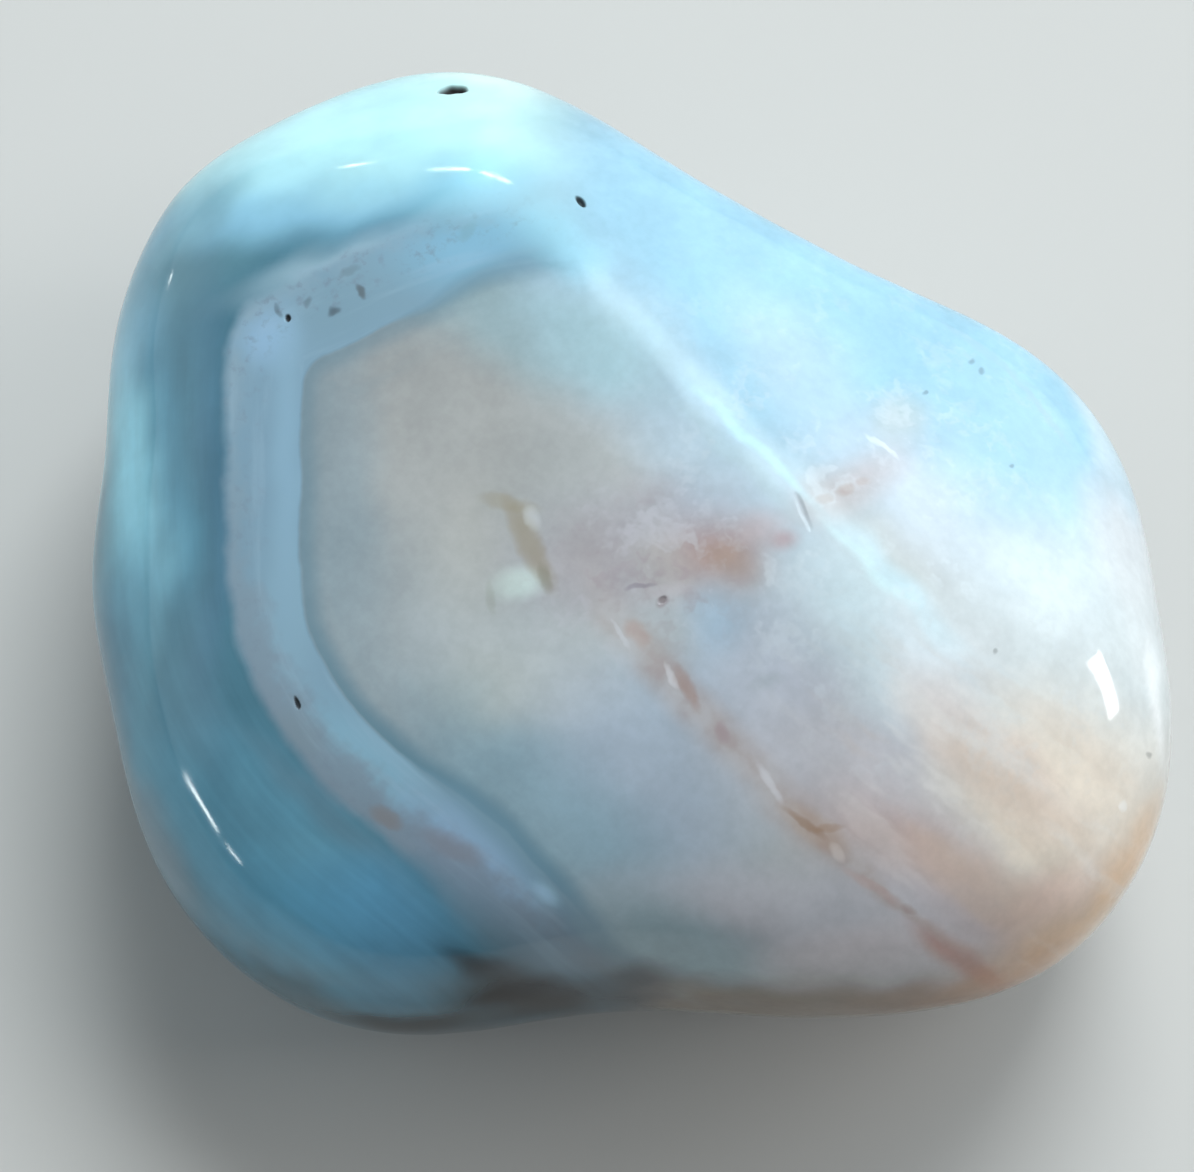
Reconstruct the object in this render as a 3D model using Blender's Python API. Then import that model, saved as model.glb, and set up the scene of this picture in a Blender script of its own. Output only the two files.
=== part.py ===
"""Polished agate: one tumbled stone with worn, softly rounded faces.

Metres, +Z up.  The stone lies on its flat underside with its longest
direction along +X.  The origin is the centre of the bounding box, at the
height of the surface the stone rests on.
"""

import math

import bmesh
import bpy
import numpy as np

MM = 0.001

# ---------------------------------------------------------------- dimensions
# Rim of the stone seen from above: radius in millimetres from the middle of
# the stone, every 15 degrees counter-clockwise from +X.
RIM_RADII = (
    20.6, 20.0, 18.3, 17.4, 16.0, 13.6, 12.2, 12.0,
    12.9, 15.4, 19.1, 19.8, 20.0, 19.4, 18.2, 18.3,
    18.3, 19.1, 18.9, 17.7, 15.9, 15.5, 17.1, 19.5,
)

BODY_ABOVE = 10.9  # mm, height of the rounded body over the rim before wear
BODY_BELOW = 9.8  # mm, depth of the rounded body under the rim before wear
BODY_FULLNESS = 3.4  # 2 is an ellipsoid, higher is fuller towards the rim
EDGE_SHARPNESS = 15.0  # higher makes the worn ridges between faces tighter

# The view of the stone's best side comes from this direction around +Z.
FRONT_TURN = 40.0  # degrees

# Faces worn by tumbling: name, direction around +Z measured from FRONT_TURN,
# tilt from +Z (both in degrees), distance from the middle in millimetres.
WORN_FACES = (
    ("main face", 193, 9, 9.1),
    ("lower face", 262, 21, 11.0),
    ("upper right face", 49, 23, 10.5),
    ("back bevel", 104, 36, 14.2),
    ("left bevel", 184, 43, 14.8),
    ("lower left bevel", 222, 43, 15.4),
    ("front bevel", 272, 50, 16.1),
    ("right shoulder", 20, 30, 13.6),
    ("lower right bevel", 325, 36, 16.2),
    ("underside", 0, 180, 8.2),
    ("under left", 190, 134, 14.9),
    ("under front", 285, 132, 14.6),
    ("under right", 20, 138, 14.4),
    ("under back", 100, 134, 14.6),
)

REST_DEPTH = 8.06  # mm under the rim where the flat resting area is worn
CELLS = 24  # grid cells along each edge of the starting cube


# --------------------------------------------------------------------- shape
def rim_radius(angle):
    """Smooth closed curve (periodic cubic B-spline) through RIM_RADII."""
    n = len(RIM_RADII)
    blend = np.zeros((n, n))
    for i in range(n):
        blend[i, i] = 4 / 6
        blend[i, (i + 1) % n] = blend[i, (i - 1) % n] = 1 / 6
    control = np.linalg.solve(blend, np.array(RIM_RADII))
    t = np.mod(angle / (2 * math.pi) * n, n)
    i = np.floor(t).astype(int)
    u = t - i
    return (
        (1 - u) ** 3 / 6 * control[(i - 1) % n]
        + (3 * u**3 - 6 * u**2 + 4) / 6 * control[i % n]
        + (-3 * u**3 + 3 * u**2 + 3 * u + 1) / 6 * control[(i + 1) % n]
        + u**3 / 6 * control[(i + 2) % n]
    )


def face_normal(around, tilt):
    a = math.radians(around + FRONT_TURN)
    t = math.radians(tilt)
    return np.array(
        [math.sin(t) * math.cos(a), math.sin(t) * math.sin(a), math.cos(t)]
    )


def stone_surface(directions):
    """Points of the stone, in millimetres, along unit directions from its middle.

    The rounded body and every worn face each say how far out they would let
    the surface reach; a high power mean of them takes the nearest one and
    leaves the ridge between two faces softly rounded.
    """
    d = directions
    rho = np.hypot(d[:, 0], d[:, 1]) / rim_radius(np.arctan2(d[:, 1], d[:, 0]))
    height = np.where(d[:, 2] > 0, BODY_ABOVE, BODY_BELOW)
    p = BODY_FULLNESS
    body = (rho**p + (np.abs(d[:, 2]) / height) ** p) ** (1 / p)
    total = body**EDGE_SHARPNESS
    for _name, around, tilt, distance in WORN_FACES:
        reach = np.maximum(0.0, d @ face_normal(around, tilt)) / distance
        total += reach**EDGE_SHARPNESS
    return d / (total ** (1 / EDGE_SHARPNESS))[:, None]


def build_stone(collection):
    mesh = bpy.data.meshes.new("agate_stone")
    bm = bmesh.new()

    # A cube divided into an even grid, swelled into a sphere whose cells all
    # see nearly the same angle, then drawn in to the stone's surface.
    bmesh.ops.create_cube(bm, size=2.0)
    bmesh.ops.subdivide_edges(
        bm, edges=bm.edges[:], cuts=CELLS - 1, use_grid_fill=True
    )
    grid = np.array([v.co[:] for v in bm.verts])
    ball = np.tan(np.clip(grid, -1, 1) * (math.pi / 4))
    ball /= np.linalg.norm(ball, axis=1)[:, None]
    for vert, point in zip(bm.verts, stone_surface(ball) * MM):
        vert.co = point

    # The flat resting area on the underside.
    bmesh.ops.bisect_plane(
        bm,
        geom=bm.verts[:] + bm.edges[:] + bm.faces[:],
        dist=1e-7,
        plane_co=(0, 0, -REST_DEPTH * MM),
        plane_no=(0, 0, -1),
        clear_outer=True,
    )
    bmesh.ops.holes_fill(bm, edges=[e for e in bm.edges if e.is_boundary])

    # Origin to the middle of the bounding box, on the resting surface.
    points = np.array([v.co[:] for v in bm.verts])
    low, high = points.min(axis=0), points.max(axis=0)
    shift = ((low[0] + high[0]) / 2, (low[1] + high[1]) / 2, low[2])
    bmesh.ops.translate(bm, verts=bm.verts[:], vec=[-s for s in shift])
    bmesh.ops.recalc_face_normals(bm, faces=bm.faces[:])
    bm.to_mesh(mesh)
    bm.free()

    mesh.shade_smooth()
    mesh.set_sharp_from_angle(angle=math.radians(28))
    stone = bpy.data.objects.new("agate_stone", mesh)
    collection.objects.link(stone)
    return stone


def agate_material():
    material = bpy.data.materials.new("polished_agate")
    material.use_nodes = True
    shader = material.node_tree.nodes["Principled BSDF"]
    shader.inputs["Base Color"].default_value = (0.44, 0.55, 0.59, 1.0)
    shader.inputs["Roughness"].default_value = 0.12
    shader.inputs["Metallic"].default_value = 0.0
    shader.inputs["IOR"].default_value = 1.54
    material.diffuse_color = (0.44, 0.55, 0.59, 1.0)
    return material


def main():
    for obj in list(bpy.data.objects):
        bpy.data.objects.remove(obj, do_unlink=True)
    scene = bpy.context.scene
    scene.unit_settings.system = "METRIC"
    parts = bpy.data.collections.new("polished_botswana_agate")
    scene.collection.children.link(parts)
    stone = build_stone(parts)
    stone.data.materials.append(agate_material())


main()
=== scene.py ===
"""Polished agate: the fine surface, the banded material, floor, lights and camera."""

import math

import bmesh
import bpy
import numpy as np
from mathutils import Matrix, Vector


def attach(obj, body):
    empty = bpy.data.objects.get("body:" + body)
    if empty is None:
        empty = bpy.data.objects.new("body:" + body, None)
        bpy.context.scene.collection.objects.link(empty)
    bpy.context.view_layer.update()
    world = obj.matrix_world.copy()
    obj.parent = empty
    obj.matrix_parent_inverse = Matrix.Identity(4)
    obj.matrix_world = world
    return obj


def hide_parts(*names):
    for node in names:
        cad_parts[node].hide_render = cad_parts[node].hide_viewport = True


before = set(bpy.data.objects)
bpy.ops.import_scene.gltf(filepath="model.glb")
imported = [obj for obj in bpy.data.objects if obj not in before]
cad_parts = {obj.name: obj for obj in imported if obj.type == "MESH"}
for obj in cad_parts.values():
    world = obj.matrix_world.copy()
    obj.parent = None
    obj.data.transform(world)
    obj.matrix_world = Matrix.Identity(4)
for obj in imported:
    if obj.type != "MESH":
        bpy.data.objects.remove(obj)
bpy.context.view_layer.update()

MM = 0.001

# ============================================================== shape numbers
# The same stone as the CAD solid: rim radius (mm) every 15 degrees, body,
# and the faces worn by tumbling (direction, tilt, distance).
RIM_RADII = (
    20.6, 20.0, 18.3, 17.4, 16.0, 13.6, 12.2, 12.0,
    12.9, 15.4, 19.1, 19.8, 20.0, 19.4, 18.2, 18.3,
    18.3, 19.1, 18.9, 17.7, 15.9, 15.5, 17.1, 19.5,
)
BODY_ABOVE = 10.9
BODY_BELOW = 9.8
BODY_FULLNESS = 3.4
EDGE_SHARPNESS = 15.0
FRONT_TURN = 40.0
WORN_FACES = (
    ("main face", 193, 9, 9.1),
    ("lower face", 262, 21, 11.0),
    ("upper right face", 49, 23, 10.5),
    ("back bevel", 104, 36, 14.2),
    ("left bevel", 184, 43, 14.8),
    ("lower left bevel", 222, 43, 15.4),
    ("front bevel", 272, 50, 16.1),
    ("right shoulder", 20, 30, 13.6),
    ("lower right bevel", 325, 36, 16.2),
    ("underside", 0, 180, 8.2),
    ("under left", 190, 134, 14.9),
    ("under front", 285, 132, 14.6),
    ("under right", 20, 138, 14.4),
    ("under back", 100, 134, 14.6),
)
REST_DEPTH = 8.06

FINE_CELLS = 116  # grid cells along each edge of the starting cube
FINER_ABOVE = 0.28  # draws the cells of the sides towards the upper half

# ============================================================= camera numbers
# Picture size in pixels, and the camera in the stone's own frame, whose
# middle is the middle of the stone at the height of its rim.
PICTURE = (1194, 1172)
CAMERA_RISE = 70.0  # degrees over the horizon
LENS = 100.0
DISTANCE = 114.0  # mm
MIDDLE_AT = (620.0, 560.0)  # where the stone's middle lies in the picture
PX_PER_MM = 29.0

# ==================================================================== marks
# Small natural pits: place in the picture, length and width (mm), turn
# (degrees), depth (mm), darkness.
PITS = (
    (453, 88, 1.02, 0.80, 4, 0.34, 1.0),
    (581, 201, 0.52, 0.26, -62, 0.15, 0.9),
    (287, 317, 0.30, 0.20, 100, 0.10, 0.95),
    (296, 702, 0.46, 0.18, -70, 0.10, 0.85),
    (803, 510, 1.45, 0.30, -72, 0.05, 0.0),
    (662, 600, 0.30, 0.20, 40, 0.05, 0.10),
)

# Border of the light band towards the blue outer layer, and its border
# towards the core, as points in the picture.
BAND_OUTER = (
    (820, 150), (720, 152), (630, 165), (555, 190), (500, 204), (455, 216),
    (401, 233), (361, 249), (321, 268), (273, 292), (243, 310), (229, 342),
    (225, 400), (226, 480), (227, 560), (233, 620), (250, 675), (279, 728),
    (315, 775), (355, 815), (400, 851), (442, 886), (475, 913), (512, 946),
    (550, 979), (600, 1020), (680, 1090), (760, 1160),
)
BAND_INNER = (
    (860, 250), (760, 250), (660, 255), (570, 258), (500, 268), (468, 281),
    (428, 305), (388, 324), (348, 345), (314, 362), (302, 392), (300, 460),
    (299, 527), (301, 590), (310, 636), (329, 672), (350, 704), (376, 733),
    (415, 766), (458, 796), (500, 828), (534, 866), (561, 893), (590, 924),
    (620, 955), (680, 1010), (760, 1080),
)
VEIN = (
    (590, 570), (604, 600), (620, 630), (651, 663), (696, 708), (740, 752),
    (770, 790), (800, 817), (833, 848), (878, 891), (915, 916), (960, 950),
    (1010, 1000), (1060, 1060),
)


# ==================================================================== shape
def rim_radius(angle):
    """Smooth closed curve (periodic cubic B-spline) through RIM_RADII."""
    n = len(RIM_RADII)
    blend = np.zeros((n, n))
    for i in range(n):
        blend[i, i] = 4 / 6
        blend[i, (i + 1) % n] = blend[i, (i - 1) % n] = 1 / 6
    control = np.linalg.solve(blend, np.array(RIM_RADII))
    t = np.mod(angle / (2 * math.pi) * n, n)
    i = np.floor(t).astype(int)
    u = t - i
    return (
        (1 - u) ** 3 / 6 * control[(i - 1) % n]
        + (3 * u**3 - 6 * u**2 + 4) / 6 * control[i % n]
        + (-3 * u**3 + 3 * u**2 + 3 * u + 1) / 6 * control[(i + 1) % n]
        + u**3 / 6 * control[(i + 2) % n]
    )


def face_normal(around, tilt):
    a = math.radians(around + FRONT_TURN)
    t = math.radians(tilt)
    return np.array(
        [math.sin(t) * math.cos(a), math.sin(t) * math.sin(a), math.cos(t)]
    )


def gauge(p):
    """1 on the stone's surface, less inside, more outside."""
    rho = np.hypot(p[:, 0], p[:, 1]) / rim_radius(np.arctan2(p[:, 1], p[:, 0]))
    height = np.where(p[:, 2] > 0, BODY_ABOVE, BODY_BELOW)
    q = BODY_FULLNESS
    body = (rho**q + (np.abs(p[:, 2]) / height) ** q) ** (1 / q)
    total = body**EDGE_SHARPNESS
    for _name, around, tilt, distance in WORN_FACES:
        reach = np.maximum(0.0, p @ face_normal(around, tilt)) / distance
        total += reach**EDGE_SHARPNESS
    return total ** (1 / EDGE_SHARPNESS)


def gauge_normal(p):
    step = 1e-3
    n = np.zeros_like(p)
    for k in range(3):
        e = np.zeros(3)
        e[k] = step
        n[:, k] = gauge(p + e) - gauge(p - e)
    return n / np.linalg.norm(n, axis=1)[:, None]


def on_cube(cells):
    """Points of an even grid on a cube, swelled to a sphere."""
    line = np.tan(np.linspace(-1, 1, cells + 1) * (math.pi / 4))
    a, b = (m.ravel() for m in np.meshgrid(line, line))
    one = np.ones_like(a)
    sides = []
    for s in (-1, 1):
        sides += [
            np.stack([s * one, a, b], 1),
            np.stack([a, s * one, b], 1),
            np.stack([a, b, s * one], 1),
        ]
    d = np.concatenate(sides)
    return d / np.linalg.norm(d, axis=1)[:, None]


def frame_shift():
    """The stone's middle lies here in the CAD frame, in millimetres."""
    d = on_cube(24)
    p = d / gauge(d)[:, None]
    low, high = p.min(axis=0), p.max(axis=0)
    return np.array([(low[0] + high[0]) / 2, (low[1] + high[1]) / 2, -REST_DEPTH])


SHIFT = frame_shift()


# =================================================================== camera
def camera_axes():
    a = math.radians(FRONT_TURN)
    e = math.radians(CAMERA_RISE)
    right = np.array([math.cos(a), math.sin(a), 0.0])
    away = np.array([-math.sin(a), math.cos(a), 0.0])
    back = -math.cos(e) * away + math.sin(e) * np.array([0.0, 0.0, 1.0])
    return right, np.cross(back, right), back


RIGHT, UP, BACK = camera_axes()
FOCAL_PX = LENS / 36.0 * PICTURE[0]
AIM = -(
    RIGHT * (MIDDLE_AT[0] - PICTURE[0] / 2) + UP * (PICTURE[1] / 2 - MIDDLE_AT[1])
) * (DISTANCE / FOCAL_PX)
EYE = AIM + BACK * DISTANCE


def picture_place(p):
    """Where points of the stone (mm, from its middle) lie in the picture."""
    v = p - EYE
    depth = -(v @ BACK)
    return np.stack(
        [
            PICTURE[0] / 2 + FOCAL_PX * (v @ RIGHT) / depth,
            PICTURE[1] / 2 - FOCAL_PX * (v @ UP) / depth,
        ],
        1,
    )


def stone_place(x, y):
    """The point of the stone's surface that lies at this place in the picture."""
    ray = (
        RIGHT * (x - PICTURE[0] / 2) / FOCAL_PX
        + UP * (PICTURE[1] / 2 - y) / FOCAL_PX
        - BACK
    )
    ray /= np.linalg.norm(ray)
    near = DISTANCE - 30.0
    while gauge((EYE + ray * near)[None])[0] > 1 and near < DISTANCE + 30:
        near += 0.25
    low, high = near - 0.25, near
    for _ in range(30):
        mid = (low + high) / 2
        if gauge((EYE + ray * mid)[None])[0] > 1:
            low = mid
        else:
            high = mid
    return EYE + ray * high


# ============================================================ pattern fields
def to_pattern(points):
    """Picture points as millimetres right and up of the stone's middle."""
    p = np.asarray(points, float)
    return np.stack(
        [(p[:, 0] - MIDDLE_AT[0]) / PX_PER_MM, (MIDDLE_AT[1] - p[:, 1]) / PX_PER_MM], 1
    )


def smooth_line(points, per=8):
    """Catmull-Rom curve through the points."""
    p = to_pattern(points)
    p = np.vstack([2 * p[0] - p[1], p, 2 * p[-1] - p[-2]])
    t = np.arange(per) / per
    out = []
    for i in range(1, len(p) - 2):
        a, b, c, d = p[i - 1 : i + 3]
        for u in t:
            out.append(
                0.5
                * (
                    2 * b
                    + (c - a) * u
                    + (2 * a - 5 * b + 4 * c - d) * u * u
                    + (3 * b - a - 3 * c + d) * u**3
                )
            )
    out.append(p[-2])
    return np.array(out)


def distance_to(line, q):
    """Distance of each point q to the line (+ on its left) and place along it."""
    a, b = line[:-1], line[1:]
    ab = b - a
    length = np.linalg.norm(ab, axis=1)
    start = np.concatenate([[0.0], np.cumsum(length)[:-1]])
    best = np.full(len(q), 1e9)
    side = np.zeros(len(q))
    along = np.zeros(len(q))
    for k in range(len(a)):
        w = q - a[k]
        t = np.clip((w @ ab[k]) / length[k] ** 2, 0, 1)
        d = np.hypot(w[:, 0] - t * ab[k, 0], w[:, 1] - t * ab[k, 1])
        closer = d < best
        best[closer] = d[closer]
        side[closer] = (ab[k, 0] * w[:, 1] - ab[k, 1] * w[:, 0])[closer]
        along[closer] = (start[k] + t * length[k])[closer]
    return np.where(side >= 0, best, -best), along


def slow_noise(p, seed, size):
    """Smooth random field of about unit size, as a sum of plane waves."""
    rng = np.random.default_rng(seed)
    out = np.zeros(len(p))
    for _ in range(14):
        k = rng.normal(size=3)
        k *= 2 * math.pi / size * rng.uniform(0.5, 1.3) / np.linalg.norm(k)
        out += np.sin(p @ k + rng.uniform(0, 2 * math.pi))
    return out / math.sqrt(7)


def smoothstep(x, low, high):
    t = np.clip((x - low) / (high - low), 0, 1)
    return t * t * (3 - 2 * t)


# ============================================================== fine surface
def build_surface():
    bm = bmesh.new()
    bmesh.ops.create_cube(bm, size=2.0)
    bmesh.ops.subdivide_edges(
        bm, edges=bm.edges[:], cuts=FINE_CELLS - 1, use_grid_fill=True
    )
    grid = np.array([v.co[:] for v in bm.verts])
    grid[:, 2] += FINER_ABOVE * (1.0 - np.clip(grid[:, 2], -1, 1) ** 2)
    ball = np.tan(np.clip(grid, -1, 1) * (math.pi / 4))
    ball /= np.linalg.norm(ball, axis=1)[:, None]
    for vert, point in zip(bm.verts, ball):
        vert.co = point

    # Finer cells around each pit, so that its edge is real geometry.
    centres = [stone_place(x, y) for x, y, *_rest in PITS]
    for centre, pit in zip(centres, PITS):
        ray = Vector(centre / np.linalg.norm(centre))
        near = (pit[2] * 0.5 + 0.45) / np.linalg.norm(centre)
        faces = [f for f in bm.faces if (f.calc_center_median() - ray).length < near]
        edges = list({e for f in faces for e in f.edges})
        bmesh.ops.subdivide_edges(bm, edges=edges, cuts=5, use_grid_fill=True)

    ball = np.array([v.co[:] for v in bm.verts])
    ball /= np.linalg.norm(ball, axis=1)[:, None]
    p = ball / gauge(ball)[:, None]
    normal = gauge_normal(p)

    # Slight waviness of a hand-sized tumbled surface.
    wave = 0.020 * slow_noise(p, 3, 7.0) + 0.006 * slow_noise(p, 8, 2.6)
    offset = wave - 0.045

    # Pits.
    dark = np.zeros(len(p))
    for centre, (x, y, long, wide, turn, depth, tone) in zip(centres, PITS):
        n = gauge_normal(centre[None])[0]
        e1 = RIGHT - n * (RIGHT @ n)
        e1 /= np.linalg.norm(e1)
        e2 = np.cross(n, e1)
        c, s = math.cos(math.radians(turn)), math.sin(math.radians(turn))
        rel = p - centre
        a = (rel @ e1) * c + (rel @ e2) * s
        b = -(rel @ e1) * s + (rel @ e2) * c
        r = np.hypot(a / (long / 2), b / (wide / 2))
        r += 0.11 * slow_noise(p, 21 + int(x), 0.5)
        inside = (np.abs(rel @ n) < 1.0) & (r < 1.6)
        bowl = np.where(inside, 1 - smoothstep(r, 0.35, 1.08), 0.0)
        offset -= depth * bowl
        dark = np.maximum(dark, np.where(inside, 1 - smoothstep(r, 0.7, 1.12), 0) * tone)
    p = p + normal * offset[:, None]

    # The flat resting area.
    soft = 0.04
    p[:, 2] = -REST_DEPTH + soft * np.logaddexp(0.0, (p[:, 2] + REST_DEPTH) / soft)

    at = (p - SHIFT) * MM
    for vert, point in zip(bm.verts, at):
        vert.co = point
    bmesh.ops.recalc_face_normals(bm, faces=bm.faces[:])
    mesh = bpy.data.meshes.new("agate_surface")
    bm.to_mesh(mesh)
    bm.free()
    mesh.shade_smooth()

    add_fields(mesh, p, normal, dark)
    stone = bpy.data.objects.new("agate_surface", mesh)
    bpy.context.scene.collection.objects.link(stone)
    return stone


def soft_spot(q, x, y, rx, ry, turn=0.0, soft=0.6, strength=1.0):
    """Soft ellipse of the pattern, given in picture pixels: 1 inside."""
    c, s = math.cos(math.radians(turn)), math.sin(math.radians(turn))
    dx = q[:, 0] - (x - MIDDLE_AT[0]) / PX_PER_MM
    dy = q[:, 1] - (MIDDLE_AT[1] - y) / PX_PER_MM
    a = (dx * c + dy * s) * PX_PER_MM / rx
    b = (dy * c - dx * s) * PX_PER_MM / ry
    return strength * (1 - smoothstep(np.hypot(a, b), 1 - soft, 1 + soft))


def painted(q, base, zones):
    """Soft zones of colour laid over each other, at the pattern places q."""
    colour = np.tile(linear(base)[:3], (len(q), 1))
    for _name, x, y, rx, ry, turn, soft, strength, rgb in zones:
        mask = soft_spot(q, x, y, rx, ry, turn, soft, strength)[:, None]
        colour = colour * (1 - mask) + np.array(linear(rgb)[:3]) * mask
    return colour


def add_fields(mesh, p, normal, dark):
    """Stores the pattern's own coordinates and distances on the vertices."""
    place = to_pattern(picture_place(p))
    view = EYE - p
    view /= np.linalg.norm(view, axis=1)[:, None]
    facing = (view * normal).sum(axis=1)
    turned = smoothstep(-facing, -0.20, 0.26)[:, None]
    hidden = smoothstep(-facing, 0.0, 0.7)[:, None]
    drift = np.stack([slow_noise(p, 31, 17.0), slow_noise(p, 32, 17.0)], 1)
    # The sides take their colours from a little further in than the rim.
    place = place * (1.0 - 0.17 * turned) + 2.4 * hidden * drift

    outer, along = distance_to(smooth_line(BAND_OUTER), place)
    inner, _ = distance_to(smooth_line(BAND_INNER), place)
    vein, vein_along = distance_to(smooth_line(VEIN), place)

    drift = np.stack([slow_noise(p, 41, 7.0), slow_noise(p, 42, 7.0)], 1)
    ripple = np.stack([slow_noise(p, 43, 1.9), slow_noise(p, 44, 1.9)], 1)
    soft_place = place + 0.22 * drift + 0.07 * ripple
    fine_place = place + 0.05 * ripple

    core = painted(soft_place, CORE_BASE, CORE_ZONES)
    for _name, x, y, rx, ry, turn, soft, strength, rgb in CORE_PATCHES:
        mask = soft_spot(fine_place, x, y, rx, ry, turn, soft, strength)[:, None]
        mask = mask * (1.0 - turned)
        core = core * (1 - mask) + np.array(linear(rgb)[:3]) * mask
    blue = painted(soft_place, BLUE_BASE, OUTER_ZONES)
    light = painted(fine_place, BAND_BASE, BAND_ZONES)

    # Below the rim the strong colours of the zones run out into plainer stone.
    core = core * (1 - 0.6 * turned) + np.array(linear((184, 180, 178))[:3]) * 0.6 * turned
    blue = blue * (1 - 0.6 * turned) + np.array(linear((104, 150, 172))[:3]) * 0.6 * turned

    def store(name, *columns):
        data = np.zeros((len(p), 3))
        for k, column in enumerate(columns):
            data[:, k] = column
        layer = mesh.attributes.new(name, "FLOAT_VECTOR", "POINT")
        layer.data.foreach_set("vector", data.astype(np.float32).ravel())

    store("pattern", place[:, 0], place[:, 1], (facing < -0.04) * 1.0)
    store("band", outer, inner, along)
    store("vein", vein, vein_along, dark)
    store("core_tone", *core.T)
    store("blue_tone", *blue.T)
    store("band_tone", *light.T)
    heart = soft_spot(place, 640, 578, 92, 78, 0, 0.8)
    ribbon = soft_spot(place, 765, 775, 235, 60, -45, 0.35)
    half = np.interp(vein_along, VEIN_AT, VEIN_HALF)
    store("softness", heart, ribbon, half)
    warm = soft_spot(place, 985, 790, 190, 120, -38, 0.6)
    milky = soft_spot(place, 900, 560, 260, 190, -40, 0.7)
    store("veil", warm, milky)


# ================================================================= materials
def linear(rgb):
    """Colour given as 0 to 255 display values, as linear light."""
    out = []
    for v in rgb:
        c = v / 255
        out.append(c / 12.92 if c <= 0.04045 else ((c + 0.055) / 1.055) ** 2.4)
    return (*out, 1.0)


class Graph:
    """Short calls for the nodes that the material is made of."""

    def __init__(self, tree):
        self.tree = tree
        self.count = 0

    def node(self, kind, inputs=(), **settings):
        n = self.tree.nodes.new(kind)
        n.location = (220 * (self.count % 24), -240 * (self.count // 24))
        self.count += 1
        for key, value in settings.items():
            setattr(n, key, value)
        for key, value in dict(inputs).items():
            self.put(n.inputs[key], value)
        return n

    def put(self, socket, value):
        if isinstance(value, bpy.types.NodeSocket):
            self.tree.links.new(value, socket)
        elif value is not None:
            socket.default_value = value

    def math(self, operation, a, b=None, c=None):
        n = self.node("ShaderNodeMath", operation=operation)
        for i, value in enumerate((a, b, c)):
            if value is not None:
                self.put(n.inputs[i], value)
        return n.outputs[0]

    def vector(self, operation, a, b=None, out=0, scale=None):
        n = self.node("ShaderNodeVectorMath", operation=operation)
        self.put(n.inputs[0], a)
        if b is not None:
            self.put(n.inputs[1], b)
        if scale is not None:
            self.put(n.inputs["Scale"], scale)
        return n.outputs[out]

    def step(self, value, low, high, out_low=0.0, out_high=1.0):
        n = self.node("ShaderNodeMapRange", interpolation_type="SMOOTHSTEP", clamp=False)
        self.put(n.inputs["Value"], value)
        self.put(n.inputs["From Min"], low)
        self.put(n.inputs["From Max"], high)
        self.put(n.inputs["To Min"], out_low)
        self.put(n.inputs["To Max"], out_high)
        return n.outputs[0]

    def noise(self, vector, scale, detail=2.0, rough=0.5, lacunarity=2.0):
        n = self.node("ShaderNodeTexNoise")
        self.put(n.inputs["Vector"], vector)
        self.put(n.inputs["Scale"], scale)
        self.put(n.inputs["Detail"], detail)
        self.put(n.inputs["Roughness"], rough)
        self.put(n.inputs["Lacunarity"], lacunarity)
        return n

    def mix(self, factor, a, b, blend="MIX"):
        n = self.node("ShaderNodeMix", data_type="RGBA", blend_type=blend)
        self.put(n.inputs[0], factor)
        self.put(n.inputs[6], a)
        self.put(n.inputs[7], b)
        return n.outputs[2]

    def attribute(self, name):
        n = self.node("ShaderNodeAttribute", attribute_name=name)
        return n.outputs["Vector"]

    def split(self, vector):
        n = self.node("ShaderNodeSeparateXYZ")
        self.put(n.inputs[0], vector)
        return n.outputs

    def blob(self, place, x, y, rx, ry, turn=0.0, soft=0.6, strength=1.0):
        """Soft ellipse of the pattern, given in picture pixels: 1 inside."""
        centre = ((x - MIDDLE_AT[0]) / PX_PER_MM, (MIDDLE_AT[1] - y) / PX_PER_MM, 0.0)
        c, s = math.cos(math.radians(turn)), math.sin(math.radians(turn))
        kx, ky = PX_PER_MM / rx, PX_PER_MM / ry
        off = self.vector("SUBTRACT", place, centre)
        a = self.vector("DOT_PRODUCT", off, (c * kx, s * kx, 0.0), out=1)
        b = self.vector("DOT_PRODUCT", off, (-s * ky, c * ky, 0.0), out=1)
        square = self.math("MULTIPLY_ADD", a, a, self.math("MULTIPLY", b, b))
        return self.step(square, (1.0 + soft) ** 2, (1.0 - soft) ** 2, 0.0, strength)


# Half width of the vein (mm) at places along it (mm).
VEIN_AT = (0.0, 1.5, 4.0, 6.5, 8.5, 11.0, 13.0, 14.5, 16.5)
VEIN_HALF = (0.30, 0.55, 0.62, 0.56, 0.56, 0.56, 0.40, 0.30, 0.14)

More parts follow.
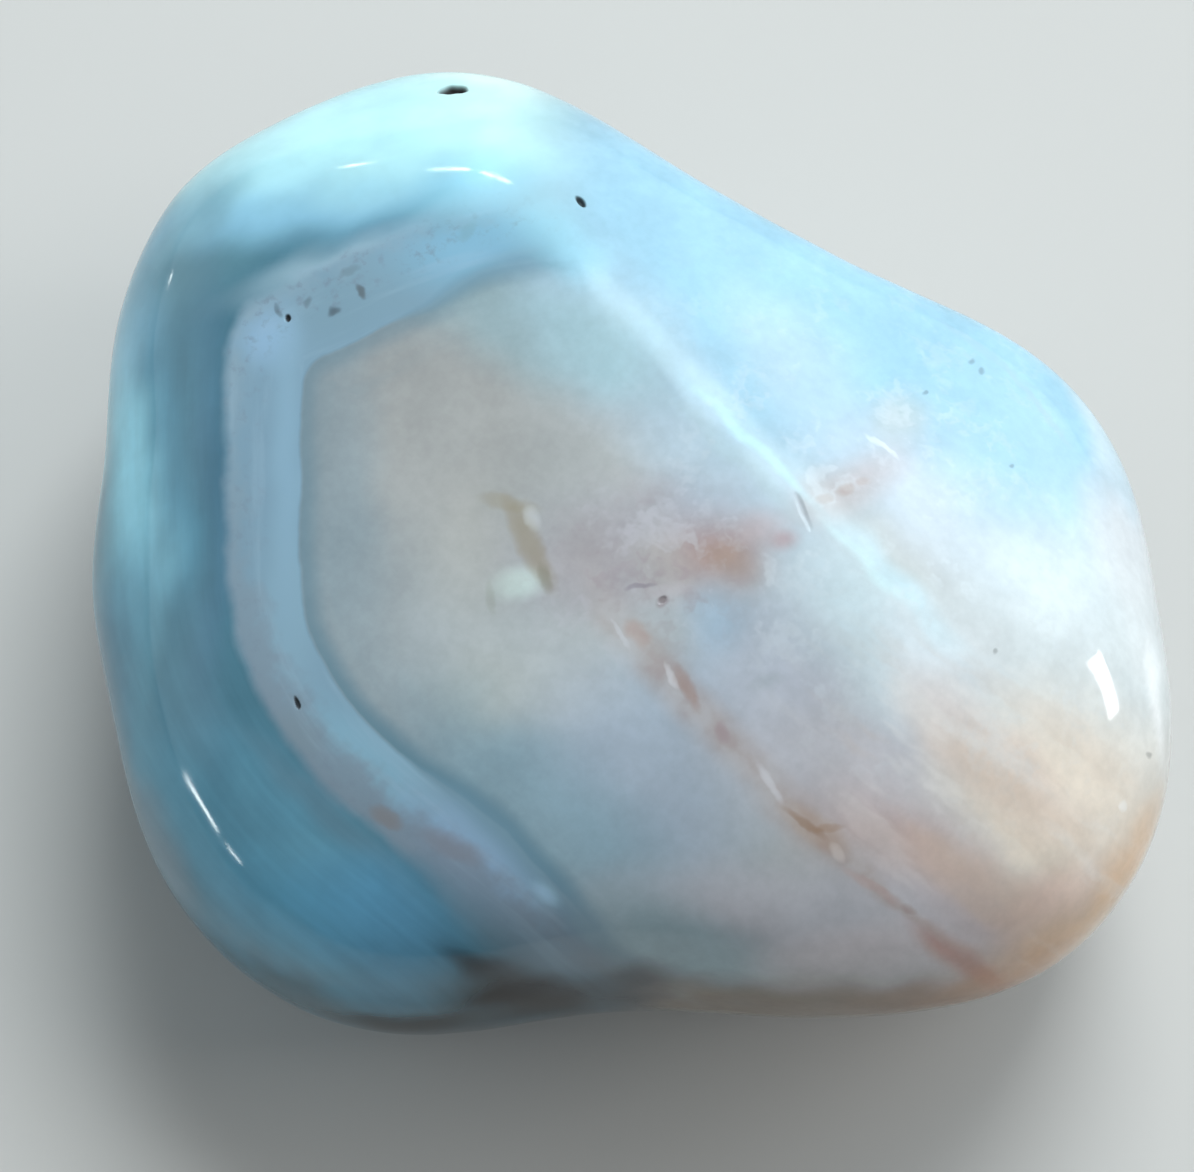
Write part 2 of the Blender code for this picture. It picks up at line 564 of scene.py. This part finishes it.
# Soft colour zones of the core side: name, place, radii, turn, softness,
# strength, colour.
CORE_BASE = (130, 142, 148)
CORE_ZONES = (
    ("pale right half", 960, 520, 430, 400, -30, 0.45, 1.0, (191, 192, 190)),
    ("upper right face", 850, 320, 400, 150, -30, 0.40, 0.95, (141, 185, 205)),
    ("face middle", 800, 330, 120, 60, -35, 0.70, 0.7, (152, 194, 213)),
    ("face right", 1000, 440, 90, 60, -50, 0.70, 0.7, (153, 190, 206)),
    ("face dust", 790, 345, 60, 36, -35, 0.9, 0.45, (188, 202, 210)),
    ("face rim", 1105, 420, 16, 50, 36, 0.9, 0.5, (206, 214, 216)),
    ("face blue", 1050, 455, 50, 30, -50, 0.9, 0.5, (172, 206, 224)),
    ("face foot", 880, 470, 100, 40, -45, 0.70, 0.6, (185, 195, 206)),
    ("right glow", 1050, 580, 80, 60, 0, 0.80, 0.5, (166, 192, 208)),
    ("face low right", 955, 505, 90, 46, -45, 0.9, 0.5, (206, 210, 216)),
    ("right edge", 1130, 560, 30, 90, 10, 0.70, 0.7, (210, 205, 206)),
    ("ridge foot", 690, 430, 230, 60, -47, 0.60, 0.6, (179, 205, 222)),
    # Painted highlight: the window's reflection where the ridge starts.
    ("ridge highlight start", 560, 236, 50, 22, -44, 0.8, 0.55, (166, 226, 244)),
    ("left of ridge top", 594, 346, 34, 56, 40, 0.8, 0.8, (190, 218, 226)),
    ("grey blue middle", 730, 650, 90, 60, 10, 0.70, 0.6, (152, 184, 204)),
    ("left of vein", 640, 780, 120, 110, -45, 0.60, 0.7, (167, 183, 201)),
    ("right of vein", 830, 720, 150, 90, -40, 0.60, 0.7, (188, 188, 198)),
    ("under the ridge", 880, 640, 90, 60, -40, 0.60, 0.7, (206, 226, 231)),
    ("warm core", 440, 440, 110, 130, 0, 0.60, 0.75, (175, 174, 171)),
    ("green core", 470, 650, 150, 90, 0, 0.70, 0.5, (192, 197, 198)),
    ("lilac core", 640, 540, 110, 60, 10, 0.70, 0.6, (161, 155, 168)),
    ("upper core", 540, 330, 130, 50, -20, 0.60, 0.6, (149, 180, 188)),
    ("left core", 335, 500, 40, 190, 0, 0.60, 0.6, (141, 158, 166)),
    ("lower core", 560, 840, 200, 70, -40, 0.60, 0.8, (137, 166, 179)),
    ("milky right", 960, 690, 100, 50, -35, 0.70, 0.6, (240, 244, 250)),
    ("cream right", 1080, 680, 110, 150, 10, 0.60, 0.8, (210, 217, 218)),
    # Painted highlight: the soft end of the ridge's reflection.
    ("ridge highlight end", 890, 586, 76, 12, -45, 0.95, 0.45, (206, 238, 248)),
    ("cream lower", 1060, 800, 110, 90, 0, 0.60, 0.8, (242, 226, 208)),
    ("peach wedge", 990, 750, 120, 34, -38, 0.60, 0.6, (217, 200, 191)),
    ("beige wedge", 900, 800, 110, 40, -40, 0.60, 0.6, (199, 195, 198)),
    ("mauve below vein", 930, 880, 120, 44, -38, 0.8, 0.65, (192, 156, 146)),
    ("peach corner", 1050, 950, 110, 28, 28, 0.9, 0.75, (222, 178, 132)),
    ("pink glow", 1046, 900, 56, 22, 28, 0.9, 0.6, (232, 196, 180)),
    ("orange edge", 1130, 885, 24, 80, -28, 0.70, 0.7, (236, 192, 148)),
    # Painted reflection of a brown floor, with shade, on the bottom rim.
    ("brown rim floor reflection", 980, 990, 140, 20, 14, 0.95, 0.55, (158, 104, 66)),
    ("lower grey", 780, 920, 200, 60, 0, 0.60, 0.8, (193, 192, 199)),
    ("low left grey", 680, 940, 90, 40, -20, 0.60, 0.7, (138, 168, 176)),
    # Painted reflection of a brown floor, with shade, on the bottom rim.
    ("olive rim floor reflection", 720, 1010, 200, 20, 0, 0.95, 0.7, (140, 112, 82)),
    ("front rim light", 880, 962, 90, 24, 6, 0.8, 0.6, (216, 206, 208)),
    # Painted reflection of a brown floor, with shade, on the bottom rim.
    ("brown foot floor reflection", 605, 992, 60, 22, 16, 0.70, 0.95, (76, 42, 16)),
)

# Smaller patches of the core side.
CORE_PATCHES = (
    ("white spot", 520, 583, 25, 14, 8, 0.7, 0.9, (196, 212, 208)),
    ("green tinge", 490, 690, 50, 40, 0, 0.9, 0.22, (194, 197, 184)),
    ("warm dust", 470, 560, 40, 60, 0, 0.9, 0.25, (188, 182, 170)),
    ("mauve left", 590, 560, 44, 40, 0, 0.9, 0.4, (178, 168, 164)),
    ("peach patch", 716, 552, 46, 32, 0, 0.8, 0.70, (167, 136, 128)),
    ("peach heart", 726, 560, 24, 16, -20, 0.8, 0.50, (173, 148, 131)),
    ("peach second", 786, 541, 12, 10, 0, 0.8, 0.50, (176, 132, 132)),
    ("peach bridge", 762, 528, 22, 18, 0, 0.8, 0.45, (194, 173, 173)),
    ("smear", 850, 485, 54, 22, 26, 0.8, 0.45, (191, 164, 155)),
    ("yellow patch", 900, 416, 26, 22, 30, 0.8, 0.35, (197, 191, 176)),
    ("grey smudge", 767, 683, 15, 6, 25, 0.8, 0.35, (145, 154, 158)),
    ("mauve wedge", 985, 890, 95, 26, -34, 0.35, 0.40, (208, 185, 167)),
    ("beige streak", 1010, 790, 90, 16, -38, 0.8, 0.35, (220, 199, 179)),
    ("corner shade", 960, 958, 50, 12, -36, 0.7, 0.50, (170, 94, 50)),
    ("heart beige", 660, 560, 26, 34, 20, 0.9, 0.45, (186, 182, 176)),
    ("heart beige low", 668, 640, 26, 24, -40, 0.9, 0.40, (172, 168, 160)),
    ("sky pocket", 718, 618, 26, 30, 0, 0.9, 0.40, (150, 182, 204)),
    # Painted highlights along the ridge: the window's reflection on it.
    ("ridge highlight a", 752, 443, 74, 5, -44, 0.7, 0.40, (193, 239, 246)),
    ("ridge highlight b", 868, 565, 58, 5, -45, 0.7, 0.35, (218, 246, 246)),
    ("below the ridge", 735, 455, 74, 9, -44, 0.7, 0.22, (178, 200, 198)),
    # Painted reflection: a pale streak along the right rim.
    ("rim reflection streak", 1156, 700, 5, 52, 6, 0.7, 0.60, (246, 246, 246)),
)

# Colour zones of the outer, blue side.
BLUE_BASE = (79, 125, 143)
OUTER_ZONES = (
    # Painted reflection of the sky on the left bevel, over the blue layer's colour.
    ("left rim", 126, 460, 26, 200, 3, 0.8, 0.8, (160, 226, 244)),
    # Painted highlight streak on the left bevel.
    ("left highlight streak", 160, 420, 14, 165, 3, 0.9, 0.45, (98, 162, 188)),
    ("upper left rim", 135, 320, 30, 70, -15, 0.7, 0.6, (146, 198, 222)),
    ("upper left grey", 200, 258, 60, 36, 30, 0.8, 0.6, (106, 148, 160)),
    ("upper left light", 300, 200, 150, 30, 12, 0.7, 0.9, (142, 193, 216)),
    ("top left light", 250, 165, 60, 24, 25, 0.9, 0.5, (188, 236, 246)),
    ("dark tongue", 335, 252, 90, 14, 24, 0.8, 0.8, (168, 196, 210)),
    ("dark tongue end", 415, 214, 56, 10, 14, 0.9, 0.4, (120, 162, 186)),
    ("top bevel", 390, 120, 260, 52, 12, 0.6, 1.0, (174, 219, 224)),
    ("top right", 560, 130, 130, 70, -30, 0.6, 1.0, (192, 230, 226)),
    ("crease", 500, 190, 66, 34, 10, 0.9, 0.9, (164, 222, 240)),
    ("cream top", 500, 82, 46, 10, -16, 0.9, 0.35, (240, 234, 220)),
    ("left lower", 118, 660, 30, 90, -8, 0.80, 0.6, (74, 130, 158)),
    ("lower left body", 262, 828, 130, 56, -45, 0.80, 0.85, (104, 162, 186)),
    ("lower left pale", 180, 810, 26, 90, 30, 0.80, 0.6, (98, 166, 192)),
    ("lower left deep", 300, 925, 90, 44, -35, 0.80, 0.7, (104, 178, 210)),
    ("upper shade", 200, 215, 50, 20, 45, 0.70, 0.7, (127, 171, 185)),
    ("dark beside band", 208, 500, 20, 190, 0, 0.8, 0.6, (85, 125, 150)),
    ("grey beside band", 322, 812, 104, 13, -45, 0.8, 0.6, (110, 146, 164)),
    ("lower rim pale", 160, 850, 18, 70, 28, 0.9, 0.5, (138, 160, 174)),
    ("lower light streak", 214, 742, 10, 80, 27, 0.9, 0.16, (116, 174, 196)),
    ("lower light patch", 320, 866, 40, 24, -20, 0.9, 0.20, (124, 182, 206)),
    ("deep blue", 385, 925, 66, 48, -20, 0.8, 0.6, (96, 162, 200)),
    # Painted contact shade along the lower-left bottom rim.
    ("grey foot shade", 290, 995, 110, 18, -24, 0.8, 0.6, (94, 112, 118)),
    ("rim foot shade", 400, 1020, 100, 13, 0, 0.8, 0.95, (14, 16, 16)),
    # Near-black patch by the bottom rim, and its end.
    ("near-black patch", 528, 994, 66, 30, -6, 0.6, 1.0, (8, 8, 8)),
    ("near-black patch end", 478, 966, 34, 9, -24, 0.8, 0.85, (26, 34, 42)),
)

# The light band.
BAND_BASE = (130, 160, 178)
BAND_ZONES = (
    ("top arm", 360, 295, 110, 34, 24, 0.7, 0.7, (129, 159, 174)),
    ("top arm end", 475, 242, 70, 36, 16, 0.7, 0.8, (134, 182, 206)),
    ("top arm start", 556, 226, 44, 30, -20, 0.8, 0.6, (162, 218, 236)),
    ("corner", 268, 335, 26, 28, 0, 0.8, 0.6, (156, 191, 220)),
    ("left arm low", 285, 620, 34, 90, -6, 0.7, 0.6, (142, 174, 191)),
    ("left arm inner", 286, 450, 13, 120, 0, 0.9, 0.6, (144, 178, 198)),
    ("lower arm", 360, 765, 80, 34, -42, 0.7, 0.8, (136, 177, 196)),
    ("lower arm end", 470, 868, 80, 32, -42, 0.7, 0.8, (146, 176, 206)),
    # Painted reflection of a brown floor, with shade, where the band meets the bottom rim.
    ("foot", 622, 992, 50, 30, -42, 0.7, 0.8, (110, 84, 56)),
    ("grey tail", 575, 940, 50, 26, -42, 0.8, 0.6, (122, 136, 150)),
    ("brown speckle a", 300, 735, 24, 14, -40, 0.8, 0.4, (131, 158, 156)),
    ("lilac end", 470, 888, 50, 12, -42, 0.8, 0.20, (106, 132, 174)),
    ("bright end a", 546, 893, 15, 7, -30, 0.7, 0.6, (176, 211, 235)),
    ("bright end b", 587, 931, 15, 7, -40, 0.7, 0.5, (150, 172, 184)),
)

# Small crisp marks. Those of the core lie over the vein.
CORE_MARKS = (
    ("olive tip", 508, 503, 20, 6, -12, 0.95, 0.46, (156, 148, 126)),
    ("olive streak", 530, 543, 34, 9, -64, 0.95, 0.62, (150, 138, 114)),
    ("olive end", 545, 578, 11, 4.5, -75, 0.9, 0.45, (126, 122, 106)),
    ("white fleck", 532, 518, 5, 9, 20, 0.95, 0.34, (214, 218, 218)),
    ("arc upper", 490, 599, 11, 3, -78, 0.95, 0.30, (138, 142, 128)),
    ("crack", 640, 587, 10, 1.8, 12, 0.9, 0.45, (124, 114, 128)),
    ("hollow rim", 668, 590, 14, 5, 10, 0.95, 0.30, (204, 200, 204)),
    ("lens low", 638, 633, 11, 7, -50, 0.95, 0.45, (180, 150, 138)),
    ("hollow tint", 662, 601, 6, 4, 40, 0.9, 0.5, (134, 112, 114)),
    ("white line a", 621, 634, 12, 1.8, -60, 0.95, 0.34, (216, 218, 224)),
    ("brown lens a", 686, 688, 16, 5, -62, 0.95, 0.50, (160, 128, 114)),
    ("white line b", 671, 676, 10, 2.2, -64, 0.95, 0.45, (224, 224, 228)),
    ("pink mark", 724, 733, 8, 5, -70, 0.8, 0.45, (160, 138, 142)),
    ("white line c", 770, 783, 14, 3.2, -56, 0.95, 0.45, (226, 226, 232)),
    ("brown lens b", 814, 828, 26, 10, -38, 0.95, 0.40, (182, 156, 134)),
    ("brown curl", 806, 823, 17, 3, -38, 0.95, 0.50, (150, 118, 92)),
    ("brown curl end", 828, 829, 11, 3, 0, 0.95, 0.40, (162, 130, 104)),
    ("white fleck b", 837, 854, 7, 3.5, -55, 0.95, 0.38, (226, 218, 214)),
    ("pink thread", 872, 887, 24, 4, -32, 0.8, 0.40, (190, 160, 154)),
    ("rim thread", 985, 352, 44, 2.2, -36, 0.95, 0.30, (150, 176, 188)),
    ("rim thread b", 1040, 408, 36, 2.2, -52, 0.95, 0.30, (160, 178, 186)),
    ("brown dot", 908, 909, 5, 3, -20, 0.9, 0.35, (156, 128, 120)),
    ("smear dot", 846, 490, 6, 4, 10, 0.95, 0.40, (160, 130, 114)),
    ("smear dot b", 824, 498, 6, 3.5, 10, 0.95, 0.30, (166, 136, 120)),
    ("smear dot c", 864, 482, 5, 3, 10, 0.95, 0.25, (170, 140, 126)),
    ("smear light", 882, 446, 13, 1.8, -38, 0.95, 0.40, (236, 242, 246)),
    # Painted glint: a tiny window reflection.
    ("glint dot", 1123, 806, 2.6, 3.4, 0, 0.9, 0.4, (250, 250, 250)),
)
BAND_MARKS = (
    ("brown speckle b", 387, 818, 13, 7, -30, 0.8, 0.6, (132, 124, 122)),
    ("grey smudge a", 333, 311, 5, 3.6, 30, 0.95, 0.8, (84, 98, 108)),
    ("grey smudge b", 361, 291, 5, 2.6, -60, 0.95, 0.75, (90, 96, 100)),
    ("grey smudge c", 278, 309, 4.5, 2.0, -60, 0.95, 0.6, (92, 108, 116)),
    ("grey smudge d", 308, 302, 4, 2.0, 60, 0.95, 0.55, (96, 112, 120)),
    ("grey smudge e", 349, 271, 8, 3, 20, 0.95, 0.4, (106, 124, 130)),
    ("grey smudge f", 467, 231, 8, 4, 40, 0.95, 0.4, (122, 152, 160)),
    ("pink lower arm", 452, 845, 24, 8, -25, 0.95, 0.4, (132, 128, 134)),
)

# Tiny dark specks: place and radius in picture pixels.
SPECKS = (
    (971, 362, 3.0), (982, 371, 3.4), (925, 393, 2.4), (1011, 465, 2.6),
    (995, 652, 2.6), (1149, 755, 3.0),
)


def paint(g, colour, place, zones):
    """Lays marks over a colour."""
    for _name, x, y, rx, ry, turn, soft, strength, rgb in zones:
        mask = g.blob(place, x, y, rx, ry, turn, soft, strength)
        colour = g.mix(mask, colour, linear(rgb))
    return colour


def centred(g, value, span):
    """A 0 to 1 noise value as -span/2 to span/2."""
    return g.math("MULTIPLY_ADD", value, span, -0.5 * span)


def stone_material():
    material = bpy.data.materials.new("polished_banded_agate")
    material.use_nodes = True
    tree = material.node_tree
    shader = tree.nodes["Principled BSDF"]
    g = Graph(tree)

    coords = g.node("ShaderNodeTexCoord").outputs["Object"]
    place_raw = g.attribute("pattern")
    band = g.split(g.attribute("band"))
    vein = g.split(g.attribute("vein"))
    softness = g.split(g.attribute("softness"))
    mm = g.vector("SCALE", coords, scale=1000.0)  # object coordinates in mm

    warp = g.noise(mm, 1.3, 2.0, 0.6).outputs["Color"]
    off = g.vector("SCALE", g.vector("SUBTRACT", warp, (0.5, 0.5, 0.5)), scale=0.42)
    raw = g.split(place_raw)
    # Third value of the pattern: 1 on the hidden sides, which get no marks.
    away = g.node("ShaderNodeCombineXYZ", {"X": g.math("MULTIPLY", raw[2], 100.0), "Y": 0.0, "Z": 0.0}).outputs[0]
    place = g.vector("ADD", g.vector("ADD", place_raw, off), away)
    height = raw[1]
    foot = g.step(height, -8.0, -12.0, 0.0, -2.8)
    fade = g.step(g.math("ADD", raw[0], foot), -0.4, -5.2)
    low_fade = g.step(height, -15.6, -13.6)
    wobble = centred(g, g.noise(mm, 0.6, 3.0, 0.55).outputs["Fac"], 0.50)
    outer = g.math("ADD", band[0], wobble)
    inner = g.math("MULTIPLY_ADD", wobble, 0.5, band[1])

    # Noise drawn out along the layers of the stone.
    flow_at = g.node(
        "ShaderNodeCombineXYZ",
        {"X": band[0], "Y": g.math("MULTIPLY", band[2], 0.09), "Z": 0.0},
    ).outputs[0]
    flow = g.noise(flow_at, 1.3, 4.0, 0.55).outputs["Fac"]
    cloud = g.noise(mm, 0.34, 3.0, 0.55, 2.3).outputs["Fac"]
    grain = g.noise(mm, 2.6, 3.0, 0.62).outputs["Fac"]

    # ---- core
    core = g.attribute("core_tone")
    tone = g.step(cloud, 0.28, 0.72, 0.93, 1.07)
    core = g.vector("SCALE", core, scale=tone)
    wisps = g.noise(
        g.vector("ADD", mm, g.vector("SCALE", warp, scale=3.0)), 0.55, 2.0, 0.5
    ).outputs["Fac"]
    lift = g.math("MULTIPLY", softness[0], g.step(wisps, 0.50, 0.76, 0.0, 0.28))
    core = g.mix(lift, core, linear((204, 200, 210)))
    sink = g.math("MULTIPLY", softness[0], g.step(wisps, 0.48, 0.28, 0.0, 0.40))
    core = g.mix(sink, core, linear((158, 142, 148)))

    # Streaks of the warm right part, drawn out beside the vein, and milky wisps.
    veil = g.split(g.attribute("veil"))
    drawn_at = g.node(
        "ShaderNodeCombineXYZ",
        {
            "X": g.vector("DOT_PRODUCT", place, (0.79 * 0.24, -0.61 * 0.24, 0.0), out=1),
            "Y": g.vector("DOT_PRODUCT", place, (0.61, 0.79, 0.0), out=1),
            "Z": 7.3,
        },
    ).outputs[0]
    drawn = g.noise(drawn_at, 0.55, 3.0, 0.6).outputs["Fac"]
    beige = g.math("MULTIPLY", veil[0], g.step(drawn, 0.50, 0.60, 0.0, 0.20))
    core = g.mix(beige, core, linear((204, 182, 164)))
    cream = g.math("MULTIPLY", veil[0], g.step(drawn, 0.47, 0.36, 0.0, 0.30))
    core = g.mix(cream, core, linear((238, 236, 232)))
    milk = g.math("MULTIPLY", veil[1], g.step(wisps, 0.52, 0.70, 0.0, 0.30))
    core = g.mix(milk, core, linear((214, 222, 226)))
    core = g.vector("SCALE", core, scale=g.step(grain, 0.30, 0.70, 0.970, 1.030))

    # Faint layers that follow the band's inner border, and its soft shade.
    near_band = g.math("MULTIPLY", g.step(inner, 3.6, 0.2), g.step(flow, 0.48, 0.66, 0.0, 0.22))
    near_band = g.math("MULTIPLY", near_band, fade)
    core = g.mix(near_band, core, linear((132, 152, 160)))
    line_low = g.math("MULTIPLY", g.step(height, 4.0, -9.0, 0.42, 0.86), g.math("MULTIPLY", fade, g.step(height, -13.4, -10.6)))
    line = g.math("MULTIPLY", g.step(inner, -0.04, 0.12), g.step(inner, 0.95, 0.12))
    core = g.mix(g.math("MULTIPLY", line, line_low), core, linear((94, 131, 147)))

    # ---- vein: a soft mottled ribbon with small flecks and lenses
    shift = centred(g, g.noise(mm, 0.45, 3.0, 0.5).outputs["Fac"], 1.0)
    off_line = g.math("ABSOLUTE", g.math("ADD", vein[0], shift))
    vein_in = g.step(g.math("DIVIDE", off_line, softness[2]), 1.9, 0.1)
    mottle = g.noise(mm, 1.1, 3.0, 0.5).outputs["Fac"]
    vein_colour = g.mix(g.step(mottle, 0.34, 0.66), linear((170, 148, 140)), linear((188, 180, 178)))
    ribbon = g.math("MULTIPLY", g.math("MULTIPLY", vein_in, softness[1]), 0.62)
    core = g.mix(ribbon, core, vein_colour)
    core = paint(g, core, place, CORE_MARKS)

    # ---- light band: a warm outer part and a steel blue inner part
    light = g.attribute("band_tone")
    across = g.math("DIVIDE", outer, g.math("SUBTRACT", outer, inner))
    across = g.math("ADD", across, centred(g, g.noise(mm, 0.75, 3.0, 0.6).outputs["Fac"], 0.9))
    share = g.step(height, 9.0, -7.0, 0.10, 0.56)
    warm = g.step(g.math("SUBTRACT", across, share), 0.22, -0.22, 0.0, 0.75)
    light = g.mix(warm, light, g.mix(g.step(height, -9.0, 7.0), linear((126, 138, 150)), linear((142, 166, 180))))
    dust = g.math("MULTIPLY", g.step(across, 0.75, 0.2), g.step(height, 5.0, 8.6, 0.26, 0.52))
    light = g.mix(g.math("MULTIPLY", g.step(grain, 0.50, 0.72), dust), light, linear((122, 136, 150)))
    light = g.mix(g.step(flow, 0.50, 0.68, 0.0, 0.20), light, linear((164, 190, 208)))
    light = paint(g, light, place, BAND_MARKS)
    melt = g.step(raw[0], -8.2, -3.6, 0.0, 1.5)
    melt_in = g.math("MULTIPLY", melt, 0.5)
    low_edge, high_edge = g.math("SUBTRACT", -0.26, melt), g.math("ADD", 0.26, melt)
    in_band = g.math("MULTIPLY", g.step(outer, low_edge, high_edge), g.step(inner, g.math("ADD", 0.10, melt_in), g.math("SUBTRACT", -0.08, melt_in)))

    # ---- blue outer layer
    blue = g.attribute("blue_tone")
    streak = g.step(flow, 0.30, 0.70, g.step(height, 9.5, 5.0, 0.98, 0.92), g.step(height, 9.5, 5.0, 1.02, 1.08))
    blue = g.vector("SCALE", blue, scale=g.math("MULTIPLY", streak, g.step(cloud, 0.3, 0.7, 0.94, 1.06)))
    near = g.math("MULTIPLY", g.step(outer, -1.3, -0.35), g.step(outer, 0.08, -0.22))
    near = g.math("MULTIPLY", near, g.step(raw[0], -4.0, -7.5, 0.0, 0.16))
    blue = g.mix(near, blue, linear((72, 108, 124)))

    # ---- together: blue side, band, core; the band fades to the right.
    core_side = g.math("MAXIMUM", g.step(inner, g.math("SUBTRACT", -0.10, melt_in), g.math("ADD", 0.08, melt_in)), g.math("SUBTRACT", 1.0, fade))
    whole = g.mix(core_side, blue, core)
    whole = g.mix(g.math("MULTIPLY", in_band, g.math("MULTIPLY", fade, low_fade)), whole, light)

    # ---- specks and pits
    specks = vein[2]
    for x, y, r in SPECKS:
        centre = ((x - MIDDLE_AT[0]) / PX_PER_MM, (MIDDLE_AT[1] - y) / PX_PER_MM, 0.0)
        flat = g.vector("DISTANCE", place, centre, out=1)
        mask = g.step(flat, 1.5 * r / PX_PER_MM, 0.4 * r / PX_PER_MM, 0.0, 0.36)
        specks = g.math("MAXIMUM", specks, mask)
    whole = g.mix(specks, whole, linear((26, 20, 18)))

    g.put(shader.inputs["Base Color"], whole)
    rough = g.step(g.noise(mm, 0.9, 2.0).outputs["Fac"], 0.3, 0.75, 0.06, 0.11)
    rough = g.math("MULTIPLY_ADD", vein[2], 0.5, rough)
    g.put(shader.inputs["Roughness"], rough)
    shader.inputs["IOR"].default_value = 1.54
    shader.inputs["Subsurface Weight"].default_value = 0.25
    shader.inputs["Subsurface Radius"].default_value = (1.0, 1.0, 1.0)
    shader.inputs["Subsurface Scale"].default_value = 0.0008
    return material


def floor_material():
    material = bpy.data.materials.new("pale_floor")
    material.use_nodes = True
    shader = material.node_tree.nodes["Principled BSDF"]
    g = Graph(material.node_tree)
    coords = g.node("ShaderNodeTexCoord").outputs["Object"]
    tone = g.noise(coords, 9.0, 3.0).outputs["Fac"]
    g.put(
        shader.inputs["Base Color"],
        g.mix(tone, (0.55, 0.54, 0.52, 1.0), (0.60, 0.59, 0.57, 1.0)),
    )
    shader.inputs["Roughness"].default_value = 0.75
    shader.inputs["Specular IOR Level"].default_value = 0.2
    return material


# ============================================================ floor and light
def build_floor():
    bm = bmesh.new()
    bmesh.ops.create_grid(bm, x_segments=8, y_segments=8, size=1.5)
    mesh = bpy.data.meshes.new("floor")
    bm.to_mesh(mesh)
    bm.free()
    floor = bpy.data.objects.new("floor", mesh)
    floor.location = (0, 0, -0.00002)
    bpy.context.scene.collection.objects.link(floor)
    mesh.materials.append(floor_material())


def direction(around, rise):
    """Unit vector; around is measured from the picture's right, like the faces."""
    a = math.radians(around + FRONT_TURN)
    e = math.radians(rise)
    return Vector((math.cos(e) * math.cos(a), math.cos(e) * math.sin(a), math.sin(e)))


def area_light(name, centre, towards, along, wide, tall, watts, colour, glossy):
    """Area light; one that isn't glossy lights the stone without a reflection."""
    light = bpy.data.lights.new(name, "AREA")
    light.shape = "RECTANGLE"
    light.size, light.size_y = wide, tall
    light.energy = watts
    light.color = colour
    obj = bpy.data.objects.new(name, light)
    back = (centre - towards).normalized()
    side = (along - back * along.dot(back)).normalized()
    turn = Matrix((side, back.cross(side), back)).transposed().to_4x4()
    obj.matrix_world = Matrix.Translation(centre) @ turn
    obj.visible_camera = False
    obj.visible_glossy = glossy
    bpy.context.scene.collection.objects.link(obj)


STONE_AT = Vector((0, 0, 0.009))


def soft_light(name, around, rise, distance, wide, tall, watts, colour):
    centre = STONE_AT + distance * direction(around, rise)
    level = Vector((0, 0, 1)).cross(direction(around, rise))
    area_light(name, centre, STONE_AT, level, wide, tall, watts, colour, False)


def strip_light(name, start, end, wide, brightness, colour=(0.95, 1.0, 1.0)):
    """Narrow bright strip between two directions, seen as a crisp reflection."""
    a = STONE_AT + 0.45 * direction(*start)
    b = STONE_AT + 0.45 * direction(*end)
    long = (b - a).length
    area_light(
        name, (a + b) / 2, STONE_AT, b - a, long, wide, brightness * long * wide, colour, True
    )


# Soft glows of the studio's walls: direction, rise, inner and outer radius
# (degrees), strength, colour.
GLOWS = (
    ("back right window", 60, 24, 6, 46, 1.9, (0.74, 0.90, 1.0)),
    ("high back", 79, 55, 1, 9, 3.4, (0.70, 0.93, 1.0)),
    ("left wall", 162, 8, 5, 38, 0.8, (0.80, 0.94, 1.0)),
)


def build_world():
    world = bpy.data.worlds.new("studio")
    world.use_nodes = True
    g = Graph(world.node_tree)
    look = g.node("ShaderNodeTexCoord").outputs["Generated"]
    total = (0.21, 0.23, 0.24, 1.0)
    for _name, around, rise, near, far, strength, colour in GLOWS:
        facing = g.vector("DOT_PRODUCT", look, tuple(direction(around, rise)), out=1)
        glow = g.step(facing, math.cos(math.radians(far)), math.cos(math.radians(near)))
        tint = tuple(c * strength for c in colour)
        colour_out = g.vector("SCALE", tint, scale=glow)
        total = g.vector("ADD", total[:3] if isinstance(total, tuple) else total, colour_out)
    background = world.node_tree.nodes["Background"]
    g.put(background.inputs["Color"], total)
    background.inputs["Strength"].default_value = 1.0
    bpy.context.scene.world = world


def build_lights():
    soft_light("key_back", 72, 50, 0.45, 0.24, 0.24, 1.48, (0.95, 0.99, 1.0))
    soft_light("side_right", 8, 42, 0.50, 0.25, 0.25, 0.45, (1.0, 0.99, 0.97))
    soft_light("fill_front", 262, 62, 0.60, 0.50, 0.40, 0.26, (1.0, 0.98, 0.95))
    strip_light("window_right", (14, 19), (1, 9), 0.046, 42.0, (1.0, 1.0, 1.0))
    strip_light("back_strip_a", (107.7, 15.7), (106.9, 16.2), 0.009, 60.0)
    strip_light("back_strip_b", (104, 25.9), (98.4, 29.3), 0.009, 60.0)
    strip_light("back_strip_c", (96, 30.8), (91.8, 32.9), 0.009, 60.0)
    strip_light("left_strip", (191, 2), (203, 5), 0.009, 55.0)
    strip_light("left_strip_low", (206, 5.6), (210, 6.4), 0.008, 45.0)
    strip_light("left_dot", (150, 5), (151.5, 5), 0.008, 60.0)


def build_camera():
    data = bpy.data.cameras.new("camera")
    data.lens = LENS
    data.sensor_width = 36.0
    data.clip_start = 0.005
    data.clip_end = 20.0
    camera = bpy.data.objects.new("camera", data)
    basis = Matrix((Vector(RIGHT), Vector(UP), Vector(BACK))).transposed()
    camera.matrix_world = Matrix.Translation(Vector((EYE - SHIFT) * MM)) @ basis.to_4x4()
    bpy.context.scene.collection.objects.link(camera)
    bpy.context.scene.camera = camera


# ====================================================================== main
stone = build_surface()
stone.data.materials.append(stone_material())
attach(stone, "root")
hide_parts("agate_stone")
build_floor()
build_lights()
build_world()
build_camera()
bpy.context.scene.view_settings.view_transform = "Standard"
bpy.context.scene.view_settings.look = "None"
